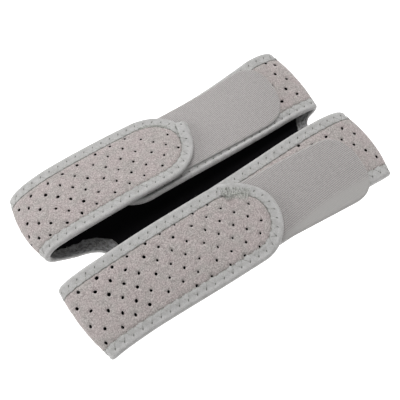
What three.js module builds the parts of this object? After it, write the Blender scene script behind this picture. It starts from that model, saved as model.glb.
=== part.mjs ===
// A patellar strap with two bands, closed and laid flat. In millimetres, x along the bands, y across
// them, z up. The base of the H-shaped body lies on z = 0. The left arms fold over as tabs, the right
// arms fold over below them, and a hook strap lies between each tab and the arm under it.
import * as THREE from "three";

// The flat cut
const bandWidth = 53.6; // edge to edge

// Edges of the two notches in the base, x and y of points in the order of the outline
const leftNotch = [
  [-86, 7],
  [-81.5, 5.8],
  [-77.5, 4.4],
  [-73.8, 2.4],
  [-70.9, 0],
  [-69.6, -3],
  [-71.4, -6],
  [-77, -8.2],
  [-86, -9],
];
const rightNotch = [
  [97, -8.2],
  [94.2, -7.4],
  [92, -5.6],
  [90.8, -2.6],
  [91, 0.4],
  [92.2, 3.6],
  [94.4, 6.3],
  [97, 7.9],
];

// The wall, measured as depth below the outer face
const wallDepth = 3.3; // whole wall
const shellDepth = 2.0; // outer layer
const liningTop = 2.3; // lining starts below a thin bond gap
const tapeWidth = 7.8; // binding on each face
const tapeThick = 0.6;
const seat = 0.3; // gap that keeps two pieces apart
const tapeRound = 0.7; // softened outer corner of the tape
const joinGap = 0.3; // between the two tape runs

// The hook straps
const hookWidth = 45;
const hookThick = 1.2;
const hookTip = 19; // length of the rounded end
const hookRise = 0.45; // clearance above the arm below

// The perforation: staggered columns, punched in blocks with a wider space after each block
const holeRadius = 0.98;
const holeSides = 6;
const columnStep = 5.4; // along the band, from one column to the next
const rowStep = 6.3; // across the band, holes sit on every second row of a column
const blockColumns = 6;
const blockSpace = 2.7; // added after each block
const holeMargin = 2.0; // hole centre to the binding

// Division of the arms
const foldRows = 5; // rows of each table below that make up the fold
const armStep = 10; // along the arms that carry the hook straps
const tipSteps = 10; // round a tip
const tipJoint = 5; // step of the back tab's tip where its two tapes meet
const notchSteps = 10; // round a notch

// Rows of each arm, from the base round the fold to the tip. The columns are x, y, z of the inner edge
// (the one beside the gap), x, y, z of the outer edge, and how far the middle rises (z) and bows
// outwards (x).
const backTab = [
  [-86, 7, 0, -86, 63, 0, 0, 0],
  [-91, 8.8, 0, -91.5, 63.2, 0, 0, 2.2],
  [-96, 10.7, 0, -97.6, 63.3, 0, 0, 4.2],
  [-100.7, 11.9, 1.8, -100.9, 63.3, 1.4, 0, 4.4],
  [-102.7, 12.5, 6, -102.2, 63.3, 4.7, 0, 4.4],
  [-101.9, 12.6, 10.8, -101, 63.3, 8.4, 0.2, 4.2],
  [-97, 12.4, 16.4, -96.5, 63.2, 12.8, 0.8, 3],
  [-88.4, 11.4, 20.7, -88, 63.1, 16.6, 1.2, 1.4],
  [-75, 10.2, 23.8, -75, 62.9, 19.4, 1.2, 0.4],
  [-55, 9.6, 25, -55, 62.5, 20.6, 1.2, 0],
  [-32, 9.4, 24.8, -32, 62.2, 20.2, 1.2, 0],
  [-8, 9.4, 23.6, -8, 61.6, 19.2, 1, 0],
  [16, 9.8, 21.9, 16, 61.2, 18.4, 0.8, 0],
];
const backArm = [
  [97, 7.9, 0, 97, 63, 0, 0, 0],
  [98.2, 8.2, 0, 97.3, 62.9, 0, 0, 1.4],
  [99.3, 8.5, 0, 97.8, 62.8, 0, 0, 2.7],
  [102.9, 8.9, 1.3, 101.8, 62.4, 1.8, 0, 2.8],
  [104.5, 9, 4.4, 103.6, 62, 6, 0, 2.8],
  [103.2, 8.8, 7.6, 101.6, 61.4, 11, 0, 2.7],
  [96.7, 8.6, 9.6, 95.4, 60.8, 16, 0.4, 1.9],
  [84, 8.4, 11.4, 84, 60.4, 18.8, 0.8, 0.9],
  [67, 8, 12.4, 67, 60, 16.4, 1, 0.3],
  [40, 7.8, 13.8, 40, 59.4, 13, 1, 0],
  [10, 7.6, 16.2, 10, 59, 13, 1, 0],
  [-21, 7.4, 18.6, -21, 59, 14.2, 1, 0],
  [-54, 7.4, 18.8, -54, 59, 14.6, 1, 0],
];
const frontTab = [
  [-86, -9, 0, -86, -57.8, 0, 0, 0],
  [-94, -8.6, 0, -92, -58.2, 0, 0, 1.3],
  [-102, -8.2, 0, -97.4, -60.2, 0, 0, 2.4],
  [-105.5, -7.8, 1.5, -100.5, -61.7, 1.3, 0, 2.5],
  [-107, -7.6, 5, -101.8, -62.8, 4.4, 0, 2.5],
  [-105.9, -7.4, 9.2, -100.4, -63.4, 8.2, 0.2, 2.4],
  [-100, -7.8, 14, -95.5, -63.3, 10.6, 0.8, 1.7],
  [-89, -8.4, 18.2, -86, -63.1, 11.9, 1.2, 0.8],
  [-70, -8.9, 21.6, -70, -63, 12.7, 1.4, 0.2],
  [-48, -9, 23.8, -48, -63.8, 14, 1.6, 0],
  [-22, -9, 24.4, -22, -64.7, 15.2, 1.4, 0],
  [6, -9.4, 25, 6, -65.2, 16.3, 1.2, 0],
  [32, -10.4, 25.5, 32, -65.5, 16.8, 1, 0],
];
const frontArm = [
  [97, -8.2, 0, 97, -57, 0, 0, 0],
  [102, -8, 0, 101.4, -57.2, 0, 0, 2.2],
  [107, -7.6, 0, 105.7, -57.6, 0, 0, 4.2],
  [111.2, -6.6, 1.8, 109.2, -58.2, 1.3, 0, 4.4],
  [113.6, -5.6, 6, 110.8, -59.1, 4.4, 0, 4.4],
  [112.3, -5.1, 11, 109.6, -59.8, 8.3, 0, 4.2],
  [107, -4.8, 15.6, 104.1, -59.9, 10.8, 0.4, 3.1],
  [96, -5, 19.6, 95, -59.6, 12, 0.8, 1.4],
  [80, -5.6, 22.4, 80, -59.5, 12.6, 1, 0.4],
  [60, -6, 22.6, 60, -59.5, 12.4, 1, 0],
  [35, -6.4, 20.8, 35, -59.6, 12, 1, 0],
  [5, -6.8, 19.2, 5, -59.7, 11.8, 1, 0],
  [-25, -7.2, 18.4, -25, -59.8, 11.7, 1, 0],
  [-45, -7.4, 18, -45, -59.8, 11.7, 1, 0],
];

// Hook straps: x and y of the middle of each end
const backHook = { from: [-14, 35.8], to: [85, 35.0] };
const frontHook = { from: [2, -35.6], to: [96.3, -43.2] };

const ramp = (a, b, f) => a + (b - a) * f;

// One arm as a bent surface: at(s, t) with s along it from the fold line and t from inner to outer edge.
function bentArm(rows) {
  const edge = (from) =>
    new THREE.CatmullRomCurve3(
      rows.map((r) => new THREE.Vector3(r[from], r[from + 1], r[from + 2])),
      false,
      "centripetal",
    );
  const inner = edge(0);
  const outer = edge(3);
  const last = rows.length - 1;
  const surface = (q, t) => {
    const f = THREE.MathUtils.clamp(q / last, 0, 1);
    const p = inner.getPoint(f).lerp(outer.getPoint(f), t);
    const k = Math.min(Math.floor(q), last - 1);
    const swell = 4 * t * (1 - t);
    p.z = Math.max(p.z + swell * ramp(rows[k][6], rows[k + 1][6], q - k), 0);
    p.x += Math.sign(rows[0][0]) * swell * ramp(rows[k][7], rows[k + 1][7], q - k);
    return p;
  };
  const steps = 40;
  const lengths = [0];
  let before = surface(0, 0.5);
  for (let i = 1; i <= last * steps; i++) {
    const here = surface(i / steps, 0.5);
    lengths.push(lengths[i - 1] + here.distanceTo(before));
    before = here;
  }
  const reach = lengths[lengths.length - 1];
  const rowAt = (s) => {
    const goal = THREE.MathUtils.clamp(s, 0, reach);
    let i = 1;
    while (i < lengths.length - 1 && lengths[i] < goal) i++;
    return (i - 1 + (goal - lengths[i - 1]) / (lengths[i] - lengths[i - 1])) / steps;
  };
  const lengthAtRow = (q) => lengths[Math.round(q * steps)];
  const side = rows === backTab || rows === frontArm ? 1 : -1; // keeps the normal on the outer face
  const normal = (q, t) => {
    const small = 0.02;
    const along = surface(Math.min(q + small, last), t).sub(surface(Math.max(q - small, 0), t));
    const across = surface(q, t + small).sub(surface(q, t - small));
    return along.cross(across).normalize().multiplyScalar(side);
  };
  const at = (s, t, depth) => {
    const q = rowAt(s);
    return surface(q, t).addScaledVector(normal(q, t), -depth);
  };
  return { rows, reach, last, at, surface, rowAt, lengthAtRow, normal };
}

const arms = {
  backTab: bentArm(backTab),
  backArm: bentArm(backArm),
  frontTab: bentArm(frontTab),
  frontArm: bentArm(frontArm),
};

// Where the columns of holes stand along a tab, measured from its fold line.
function holeColumns(arm) {
  const list = [];
  for (let k = 0; k < 40; k++)
    list.push(arm.holeShift + k * columnStep + Math.floor(k / blockColumns) * blockSpace);
  return list;
}

// Stations along an arm: close round the fold, then between the columns of holes on a tab, or evenly
// on an arm that carries a hook strap. The last two frame the joint of the binding where the round tip
// starts.
function stationsOf(arm) {
  const tipStart = arm.reach - Math.max(arm.tipInner, arm.tipOuter);
  const top = arm.lengthAtRow(foldRows);
  const list = [];
  for (let k = 0; k < foldRows; k++) {
    const pieces = k >= 3 ? 2 : 1;
    for (let j = 0; j < pieces; j++) list.push(arm.lengthAtRow(k + j / pieces));
  }
  if (arm.holeShift !== null) {
    const columns = holeColumns(arm);
    for (let k = 1; k < columns.length; k++) {
      const between = (columns[k - 1] + columns[k]) / 2;
      const wanted = k % 2 === 0 || between < arm.lengthAtRow(foldRows + 2);
      if (wanted && between > top - 2 && between < tipStart - 7) list.push(between);
    }
  } else {
    const parts = Math.ceil((tipStart - joinGap - top) / armStep);
    for (let k = 0; k < parts; k++) list.push(ramp(top, tipStart - joinGap, k / parts));
  }
  list.push(tipStart - joinGap, tipStart);
  return list;
}
// How far the rounding of each tip reaches back along the inner and the outer edge.
Object.assign(arms.backTab, { tipInner: 29.4, tipOuter: 29.4 });
Object.assign(arms.frontTab, { tipInner: 34, tipOuter: 27 });
Object.assign(arms.backArm, { tipInner: 26, tipOuter: 26 });
Object.assign(arms.frontArm, { tipInner: 26, tipOuter: 26 });
// The first column of holes, and the middle row: its place across the band, where that is read, and
// its drift.
Object.assign(arms.backTab, { holeShift: -15.4, rowMiddle: 29.4, rowRead: 60, drift: 0.04 });
Object.assign(arms.frontTab, { holeShift: -24.2, rowMiddle: 28, rowRead: 66.8, drift: -0.04 });
Object.assign(arms.backArm, { holeShift: null, rowMiddle: 30, rowRead: 0, drift: 0 });
Object.assign(arms.frontArm, { holeShift: null, rowMiddle: 30, rowRead: 0, drift: 0 });
for (const arm of Object.values(arms)) {
  arm.stations = stationsOf(arm);
  arm.rowPlace = (s) => arm.rowMiddle + (Math.min(s, 100) - arm.rowRead) * arm.drift;
  arm.split = (s) => arm.rowPlace(s) - rowStep / 2;
}

// The outline of the H as one closed run of stations. Each knows its arm, or none on the flat base, and
// gives its place on the flat pattern at an inset from the edge.
const outline = [];
const marks = {};
const spot = (station, inset, depth) => {
  const [a, b] = station.flat(inset);
  return station.arm ? station.arm.at(a, b / bandWidth, depth) : new THREE.Vector3(a, b, depth);
};
function alongSide(arm, outer, reverse) {
  const list = reverse ? [...arm.stations].reverse() : arm.stations;
  for (const s of list) outline.push({ arm, flat: (inset) => [s, outer ? bandWidth - inset : inset] });
}
function roundTip(arm, fromOuter, joint) {
  const half = bandWidth / 2;
  const turns = [];
  for (let i = 1; i < tipSteps; i++) turns.push(Math.PI / 2 - (Math.PI * i) / tipSteps);
  if (joint) turns.splice(joint + 1, 0, turns[joint] - joinGap / half); // a pair frames the joint
  for (const turn of turns) {
    const angle = fromOuter ? turn : -turn;
    const reach = angle > 0 ? arm.tipOuter : arm.tipInner;
    const lean = new THREE.Vector2(Math.cos(angle) / reach, Math.sin(angle) / half).normalize();
    const s = arm.reach - reach + reach * Math.cos(angle);
    const v = half + half * Math.sin(angle);
    outline.push({ arm, flat: (inset) => [s - lean.x * inset, v - lean.y * inset] });
  }
}
function notch(rows) {
  const curve = new THREE.SplineCurve(rows.map((r) => new THREE.Vector2(...r)));
  for (let i = 1; i < notchSteps; i++) {
    const p = curve.getPoint(i / notchSteps);
    const along = curve.getTangent(i / notchSteps);
    outline.push({ arm: null, flat: (inset) => [p.x - along.y * inset, p.y + along.x * inset] });
  }
}
alongSide(arms.backTab, true, false);
marks.backTabTip = outline.length;
roundTip(arms.backTab, true, tipJoint);
marks.backTabInner = outline.length;
alongSide(arms.backTab, false, true);
marks.leftNotch = outline.length;
notch(leftNotch);
marks.frontTabInner = outline.length;
alongSide(arms.frontTab, false, false);
marks.frontTabTip = outline.length;
roundTip(arms.frontTab, false);
marks.frontTabOuter = outline.length;
alongSide(arms.frontTab, true, true);
marks.frontArmOuter = outline.length;
alongSide(arms.frontArm, true, false);
marks.frontArmTip = outline.length;
roundTip(arms.frontArm, true);
marks.frontArmInner = outline.length;
alongSide(arms.frontArm, false, true);
marks.rightNotch = outline.length;
notch(rightNotch);
marks.backArmInner = outline.length;
alongSide(arms.backArm, false, false);
marks.backArmTip = outline.length;
roundTip(arms.backArm, false);
marks.backArmOuter = outline.length;
alongSide(arms.backArm, true, true);

// How the outline runs round each arm: up one side, round the tip, down the other side.
const runs = [
  { arm: arms.backTab, up: 0, tip: marks.backTabTip, down: marks.backTabInner },
  { arm: arms.frontTab, up: marks.frontTabInner, tip: marks.frontTabTip, down: marks.frontTabOuter },
  { arm: arms.frontArm, up: marks.frontArmOuter, tip: marks.frontArmTip, down: marks.frontArmInner },
  { arm: arms.backArm, up: marks.backArmInner, tip: marks.backArmTip, down: marks.backArmOuter },
];

// Collects points and faces of one closed surface. Each point keeps its place on the flat pattern.
function faceList() {
  const points = [];
  const flats = [];
  const faces = [];
  const add = (point, flat) => {
    flats.push(new THREE.Vector2(...flat));
    return points.push(point) - 1;
  };
  const ring = (inset, depth) =>
    outline.map((station) => add(spot(station, inset, depth), station.flat(inset)));
  const band = (a, b) => {
    for (let i = 0; i < a.length; i++) {
      const j = (i + 1) % a.length;
      faces.push([a[i], b[j], a[j]], [a[i], b[i], b[j]]);
    }
  };
  // Fills one region, less its holes. Its faces turn along the contour, or against it on the outer face.
  const region = (contour, holes, along, place) => {
    const shape = contour.map(place);
    const turn = Math.sign(THREE.ShapeUtils.area(shape)) * (along ? 1 : -1);
    const all = [contour, ...holes].flat();
    const made = THREE.ShapeUtils.triangulateShape(shape, holes.map((h) => h.map(place)));
    const triples = made.map((triple) => triple.map((k) => all[k]));
    const area = triples.reduce((sum, triple) => sum + THREE.ShapeUtils.area(triple.map(place)), 0);
    for (const triple of triples) faces.push(area * turn > 0 ? triple : triple.reverse());
  };
  // Fills a round tip without holes from one point in its middle.
  const fan = (contour, arm, depth, along) => {
    const s = arm.reach - arm.tipInner / 2;
    const centre = add(arm.at(s, 0.5, depth), [s, bandWidth / 2]);
    contour.forEach((a, i) => {
      const b = contour[(i + 1) % contour.length];
      faces.push(along ? [a, b, centre] : [b, a, centre]);
    });
  };
  const quad = (a, b, c, d, along) => {
    if (along) faces.push([a, b, c], [a, c, d]);
    else faces.push([a, c, b], [a, d, c]);
  };
  // Fills a whole ring: each arm in slabs, split lengthwise between two rows of holes, then the flat base.
  const fill = (edge, depth, along, holes) => {
    const onPattern = (i) => flats[i];
    const onTable = (i) => new THREE.Vector2(points[i].x, points[i].y);
    const feet = [];
    for (const { arm, up, tip, down } of runs) {
      const n = arm.stations.length;
      const rising = (i) => edge[up + i];
      const falling = (i) => edge[down + n - 1 - i];
      const onSplit = (s) => arm.at(s, arm.split(s) / bandWidth, depth);
      const middle = arm.stations.map((s) => add(onSplit(s), [s, arm.split(s)]));
      const own = holes.filter((h) => h.arm === arm);
      const risingHigh = flats[rising(0)].y > bandWidth / 2;
      const ringsIn = (low, high, onRising) =>
        own
          .filter((h) => h.s > low && h.s < high && h.v > arm.split(h.s) === (onRising === risingHigh))
          .map((h) => h.rings[depth]);
      quad(rising(0), rising(1), middle[1], falling(0), along);
      faces.push(along ? [middle[1], falling(1), falling(0)] : [middle[1], falling(0), falling(1)]);
      for (let i = 1; i + 1 < n; i++) {
        for (const onRising of [true, false]) {
          const near = [rising(i), rising(i + 1), middle[i + 1], middle[i]];
          const far = [middle[i], middle[i + 1], falling(i + 1), falling(i)];
          const contour = onRising ? near : far;
          const rings = ringsIn(arm.stations[i], arm.stations[i + 1], onRising);
          if (rings.length) region(contour, rings, along, onPattern);
          else quad(...contour, along);
        }
      }
      const first = ringsIn(arm.stations[n - 1], arm.reach, true);
      const second = ringsIn(arm.stations[n - 1], arm.reach, false);
      const round = edge.slice(tip, down);
      if (first.length + second.length === 0) {
        fan([rising(n - 1), ...round, falling(n - 1), middle[n - 1]], arm, depth, along);
      } else {
        const goal = arm.split(arm.reach - 8);
        const off = round.map((i) => Math.abs(flats[i].y - goal));
        const k = off.indexOf(Math.min(...off));
        region([rising(n - 1), ...round.slice(0, k + 1), middle[n - 1]], first, along, onPattern);
        region([middle[n - 1], ...round.slice(k), falling(n - 1)], second, along, onPattern);
      }
      for (const hole of own) hole.turn = risingHigh ? 1 : -1;
      feet.push(rising(0), falling(0));
    }
    const [a, b, c, d, e, f, g, h] = feet;
    const left = edge.slice(marks.leftNotch, marks.frontTabInner);
    const right = edge.slice(marks.rightNotch, marks.backArmInner);
    region([a, b, ...left, c, d, e, f, ...right, g, h], [], along, onTable);
  };
  // Rings of one round hole at the outer and inner depth, and the wall between them.
  const pierce = (hole, depths) => {
    hole.rings = {};
    for (const depth of depths) {
      hole.rings[depth] = [];
      for (let k = 0; k < holeSides; k++) {
        const angle = (2 * Math.PI * k) / holeSides;
        const s = hole.s + holeRadius * Math.cos(angle);
        const v = hole.v + holeRadius * Math.sin(angle);
        hole.rings[depth].push(add(hole.arm.at(s, v / bandWidth, depth), [s, v]));
      }
    }
  };
  const wall = (hole, [outerDepth, innerDepth]) => {
    const outer = hole.rings[outerDepth];
    const inner = hole.rings[innerDepth];
    for (let k = 0; k < holeSides; k++) {
      const j = (k + 1) % holeSides;
      const pair = [[outer[k], outer[j], inner[j]], [outer[k], inner[j], inner[k]]];
      for (const face of pair) faces.push(hole.turn > 0 ? face : face.reverse());
    }
  };
  const geometry = () => {
    const used = [...new Set(faces.flat())];
    const index = new Map(used.map((old, i) => [old, i]));
    const g = new THREE.BufferGeometry();
    const flat = used.flatMap((i) => [points[i].x, points[i].y, points[i].z]);
    g.setAttribute("position", new THREE.Float32BufferAttribute(flat, 3));
    g.setIndex(faces.flat().map((old) => index.get(old)));
    return g;
  };
  return { ring, band, fill, pierce, wall, geometry };
}

// Outer layer: full depth in the field, thinned at its edge so that it fits inside the folded tape.
function makeShell() {
  const list = faceList();
  const holes = [...holesOn(arms.backTab), ...holesOn(arms.frontTab)];
  const depths = [0, shellDepth];
  for (const hole of holes) list.pierce(hole, depths);
  const edge = tapeThick + seat;
  const topEdge = list.ring(edge, tapeThick + seat);
  const topStep = list.ring(tapeWidth + 0.2, tapeThick + seat);
  const topField = list.ring(tapeWidth + 0.5, 0);
  const lowEdge = list.ring(edge, shellDepth);
  const lowField = list.ring(tapeWidth + 0.5, shellDepth);
  list.band(topEdge, topStep);
  list.band(topStep, topField);
  list.fill(topField, 0, false, holes);
  list.band(lowEdge, topEdge);
  list.band(lowField, lowEdge);
  list.fill(lowField, shellDepth, true, holes);
  for (const hole of holes) list.wall(hole, depths);
  return list.geometry();
}

// Inner layer: stops just short of the tape all round.
function makeLining() {
  const list = faceList();
  const top = list.ring(tapeWidth + seat, liningTop);
  const low = list.ring(tapeWidth + seat, wallDepth);
  list.fill(top, liningTop, false, []);
  list.band(low, top);
  list.fill(low, wallDepth, true, []);
  return list.geometry();
}

// Folded edge tape along part of the outline, with square-cut ends.
function makeTape(first, count) {
  const profile = [
    [0, tapeRound],
    [tapeRound, 0],
    [tapeWidth, 0],
    [tapeWidth, tapeThick],
    [tapeThick, tapeThick],
    [tapeThick, wallDepth - tapeThick],
    [tapeWidth, wallDepth - tapeThick],
    [tapeWidth, wallDepth],
    [0, wallDepth],
  ];
  const points = [];
  const faces = [];
  const n = profile.length;
  for (let i = 0; i < count; i++) {
    const station = outline[(first + i) % outline.length];
    for (const [inset, depth] of profile) points.push(spot(station, inset, depth));
  }
  for (let i = 0; i + 1 < count; i++)
    for (let k = 0; k < n; k++) {
      const a = i * n + k;
      const b = i * n + ((k + 1) % n);
      faces.push([a, b, b + n], [a, b + n, a + n]);
    }
  const flat = profile.map(([d, h]) => new THREE.Vector2(d, h));
  const end = (count - 1) * n;
  for (const [a, b, c] of THREE.ShapeUtils.triangulateShape(flat, []))
    faces.push([a, c, b], [end + a, end + b, end + c]);
  const g = new THREE.BufferGeometry();
  g.setAttribute("position", new THREE.Float32BufferAttribute(points.flatMap((p) => [p.x, p.y, p.z]), 3));
  g.setIndex(faces.flat());
  return g;
}

// Height of an arm's outer face above a point of the table, level with its nearest row.
function heightOn(arm, x, y) {
  let low = 6;
  let high = arm.last;
  for (let i = 0; i < 40; i++) {
    const mid = (low + high) / 2;
    if (arm.surface(mid, 0.5).x > x) low = mid;
    else high = mid;
  }
  const inner = arm.surface(low, 0);
  const outer = arm.surface(low, 1);
  const t = (y - inner.y) / (outer.y - inner.y);
  return arm.surface(low, THREE.MathUtils.clamp(t, -0.3, 1.3)).z;
}

// A hook strap that follows the arm below it, square at the hidden end and round at the free end.
function makeHook(arm, plan) {
  const start = new THREE.Vector2(...plan.from);
  const along = new THREE.Vector2(...plan.to).sub(start);
  const length = along.length();
  along.normalize();
  const across = new THREE.Vector2(-along.y, along.x);
  const stations = [];
  const straight = length - hookTip;
  const parts = 9;
  for (let i = 0; i <= parts; i++) stations.push([(straight * i) / parts, 1]);
  const tipParts = 7;
  for (let i = 1; i <= tipParts; i++) {
    const angle = ((Math.PI / 2) * i) / tipParts;
    const swell = Math.pow(Math.cos(angle), 0.8);
    stations.push([straight + hookTip * Math.pow(Math.sin(angle), 0.8), Math.max(swell, 0.12)]);
  }
  const columns = [-1, -0.5, 0, 0.5, 1];
  const points = [];
  const faces = [];
  const spot = (s, w, lift) => {
    const p = start.clone().addScaledVector(along, s).addScaledVector(across, (w * hookWidth) / 2);
    points.push([p.x, p.y, heightOn(arm, p.x, p.y) + lift]);
  };
  for (const [s, width] of stations) for (const c of columns) spot(s, c * width, hookRise);
  for (const [s, width] of stations) for (const c of columns) spot(s, c * width, hookRise + hookThick);
  const m = columns.length;
  const upper = stations.length * m;
  const quad = (a, b, c, d) => faces.push([a, b, c], [a, c, d]);
  for (let i = 0; i + 1 < stations.length; i++) {
    for (let k = 0; k + 1 < m; k++) {
      const a = i * m + k;
      quad(upper + a, upper + a + m, upper + a + m + 1, upper + a + 1);
      quad(a, a + 1, a + m + 1, a + m);
    }
    const left = i * m;
    const right = i * m + m - 1;
    quad(left, left + m, upper + left + m, upper + left);
    quad(right + m, right, upper + right, upper + right + m);
  }
  const tail = (stations.length - 1) * m;
  for (let k = 0; k + 1 < m; k++) {
    quad(k + 1, k, upper + k, upper + k + 1);
    quad(tail + k, tail + k + 1, upper + tail + k + 1, upper + tail + k);
  }
  const g = new THREE.BufferGeometry();
  g.setAttribute("position", new THREE.Float32BufferAttribute(points.flat(), 3));
  g.setIndex(faces.flat());
  return g;
}

// Round holes through the outer layer over the visible field of one tab, clear of every station line.
function holesOn(arm) {
  const holes = [];
  const clear = holeRadius + 0.3;
  holeColumns(arm).forEach((flat, column) => {
    for (let row = -6; row <= 6; row++) {
      if ((column + row + (arm === arms.backTab ? 1 : 0)) % 2 !== 0) continue;
      const v = arm.rowPlace(flat) + row * rowStep;
      let s = flat;
      if (s < arm.lengthAtRow(foldRows) || !insideField(arm, s, v)) continue;
      for (const line of arm.stations)
        if (Math.abs(s - line) < clear) s = line + (s < line - joinGap ? -clear : clear);
      holes.push({ arm, s, v });
    }
  });
  return holes;
}
// Whether a point of the pattern lies inside the arm's binding with room for a hole.
function insideField(arm, s, v) {
  const { up, down } = runs.find((run) => run.arm === arm);
  const edge = outline.slice(up, down + arm.stations.length).map((o) => o.flat(tapeWidth + holeMargin));
  let inside = false;
  edge.forEach(([s1, v1], i) => {
    const [s2, v2] = edge[(i + 1) % edge.length];
    if (v1 > v !== v2 > v && s < s1 + ((s2 - s1) * (v - v1)) / (v2 - v1)) inside = !inside;
  });
  return inside;
}

const fabric = new THREE.MeshStandardMaterial({ color: 0xb3a9a7, roughness: 0.95, metalness: 0 });
const knit = new THREE.MeshStandardMaterial({ color: 0x121114, roughness: 0.9, metalness: 0 });
const tape = new THREE.MeshStandardMaterial({ color: 0xb6b5b3, roughness: 0.85, metalness: 0 });
const hookTape = new THREE.MeshStandardMaterial({ color: 0xaca8a7, roughness: 0.7, metalness: 0 });

const part = new THREE.Group();
part.name = "patellar_strap";
function place(name, geometry, material) {
  const mesh = new THREE.Mesh(geometry, material.clone());
  mesh.name = name;
  part.add(mesh);
}

place("body_shell", makeShell(), fabric);
place("body_lining", makeLining(), knit);
const joinA = marks.backTabTip + tipJoint + 1; // just past the middle of the back tab's tip
const joinB = marks.frontTabTip - 1; // back corner of the front tab's tip
place("binding_notch", makeTape(joinA, joinB - joinA), tape);
place("binding_outer", makeTape(joinB, outline.length - (joinB - joinA)), tape);
place("hook_strap_back", makeHook(arms.backArm, backHook), hookTape);
place("hook_strap_front", makeHook(arms.frontArm, frontHook), hookTape);

export default part;
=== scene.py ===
import math

import bmesh
import bpy
import numpy as np
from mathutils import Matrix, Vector
from mathutils.geometry import delaunay_2d_cdt


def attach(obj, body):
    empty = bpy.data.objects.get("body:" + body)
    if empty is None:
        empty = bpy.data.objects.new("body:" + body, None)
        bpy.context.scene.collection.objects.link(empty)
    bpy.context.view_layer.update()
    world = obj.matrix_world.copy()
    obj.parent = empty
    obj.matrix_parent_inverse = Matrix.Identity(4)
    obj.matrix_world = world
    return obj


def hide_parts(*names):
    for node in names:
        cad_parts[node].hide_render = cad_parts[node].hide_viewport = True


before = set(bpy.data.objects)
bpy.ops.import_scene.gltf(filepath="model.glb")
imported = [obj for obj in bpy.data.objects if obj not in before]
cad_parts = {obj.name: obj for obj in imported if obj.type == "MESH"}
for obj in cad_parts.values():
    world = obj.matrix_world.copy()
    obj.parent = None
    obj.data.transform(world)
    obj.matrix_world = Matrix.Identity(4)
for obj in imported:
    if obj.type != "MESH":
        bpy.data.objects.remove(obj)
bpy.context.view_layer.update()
mm = 0.001
farAway = 1e9

# the flat cut, in mm: an H with two bands on one base
cut = {
    "foldLeft": -86.0,  # where the left arms leave the base
    "foldRight": 97.0,
    "bandWidth": 53.6,
    "wallDepth": 3.3,
    "tipWay": 90.0,  # about the way round a tip, for the spacing of points
    "notchSide": -50.0,  # the left notch lies left of this
}
bandWidth = cut["bandWidth"]
wallDepth = cut["wallDepth"]
baseLength = cut["foldRight"] - cut["foldLeft"]

# edges of the two notches in the base, x and y in the order of the outline
leftNotch = [
    (-86, 7), (-81.5, 5.8), (-77.5, 4.4), (-73.8, 2.4), (-70.9, 0),
    (-69.6, -3), (-71.4, -6), (-77, -8.2), (-86, -9),
]
rightNotch = [
    (97, -8.2), (94.2, -7.4), (92, -5.6), (90.8, -2.6),
    (91, 0.4), (92.2, 3.6), (94.4, 6.3), (97, 7.9),
]

# bent arms, a row per section from the fold line to the tip, outer face, mm
# inner edge x y z, outer edge x y z, rise of the middle, bow of the middle
backTabRows = [
    (-86, 7, 0, -86, 63, 0, 0, 0),
    (-91, 8.8, 0, -91.5, 63.2, 0, 0, 2.2),
    (-96, 10.7, 0, -97.6, 63.3, 0, 0, 4.2),
    (-100.7, 11.9, 1.8, -100.9, 63.3, 1.4, 0, 4.4),
    (-102.7, 12.5, 6, -102.2, 63.3, 4.7, 0, 4.4),
    (-101.9, 12.6, 10.8, -101, 63.3, 8.4, 0.2, 4.2),
    (-97, 12.4, 16.4, -96.5, 63.2, 12.8, 0.8, 3),
    (-88.4, 11.4, 20.7, -88, 63.1, 16.6, 1.2, 1.4),
    (-75, 10.2, 23.8, -75, 62.9, 19.4, 1.2, 0.4),
    (-55, 9.6, 25, -55, 62.5, 20.6, 1.2, 0),
    (-32, 9.4, 24.8, -32, 62.2, 20.2, 1.2, 0),
    (-8, 9.4, 23.6, -8, 61.6, 19.2, 1, 0),
    (16, 9.8, 21.9, 16, 61.2, 18.4, 0.8, 0),
]
backArmRows = [
    (97, 7.9, 0, 97, 63, 0, 0, 0),
    (98.2, 8.2, 0, 97.3, 62.9, 0, 0, 1.4),
    (99.3, 8.5, 0, 97.8, 62.8, 0, 0, 2.7),
    (102.9, 8.9, 1.3, 101.8, 62.4, 1.8, 0, 2.8),
    (104.5, 9, 4.4, 103.6, 62, 6, 0, 2.8),
    (103.2, 8.8, 7.6, 101.6, 61.4, 11, 0, 2.7),
    (96.7, 8.6, 9.6, 95.4, 60.8, 16, 0.4, 1.9),
    (84, 8.4, 11.4, 84, 60.4, 18.8, 0.8, 0.9),
    (67, 8, 12.4, 67, 60, 16.4, 1, 0.3),
    (40, 7.8, 13.8, 40, 59.4, 13, 1, 0),
    (10, 7.6, 16.2, 10, 59, 13, 1, 0),
    (-21, 7.4, 18.6, -21, 59, 14.2, 1, 0),
    (-54, 7.4, 18.8, -54, 59, 14.6, 1, 0),
]
frontTabRows = [
    (-86, -9, 0, -86, -57.8, 0, 0, 0),
    (-94, -8.6, 0, -92, -58.2, 0, 0, 1.3),
    (-102, -8.2, 0, -97.4, -60.2, 0, 0, 2.4),
    (-105.5, -7.8, 1.5, -100.5, -61.7, 1.3, 0, 2.5),
    (-107, -7.6, 5, -101.8, -62.8, 4.4, 0, 2.5),
    (-105.9, -7.4, 9.2, -100.4, -63.4, 8.2, 0.2, 2.4),
    (-100, -7.8, 14, -95.5, -63.3, 10.6, 0.8, 1.7),
    (-89, -8.4, 18.2, -86, -63.1, 11.9, 1.2, 0.8),
    (-70, -8.9, 21.6, -70, -63, 12.7, 1.4, 0.2),
    (-48, -9, 23.8, -48, -63.8, 14, 1.6, 0),
    (-22, -9, 24.4, -22, -64.7, 15.2, 1.4, 0),
    (6, -9.4, 25, 6, -65.2, 16.3, 1.2, 0),
    (32, -10.4, 25.5, 32, -65.5, 16.8, 1, 0),
]
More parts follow.
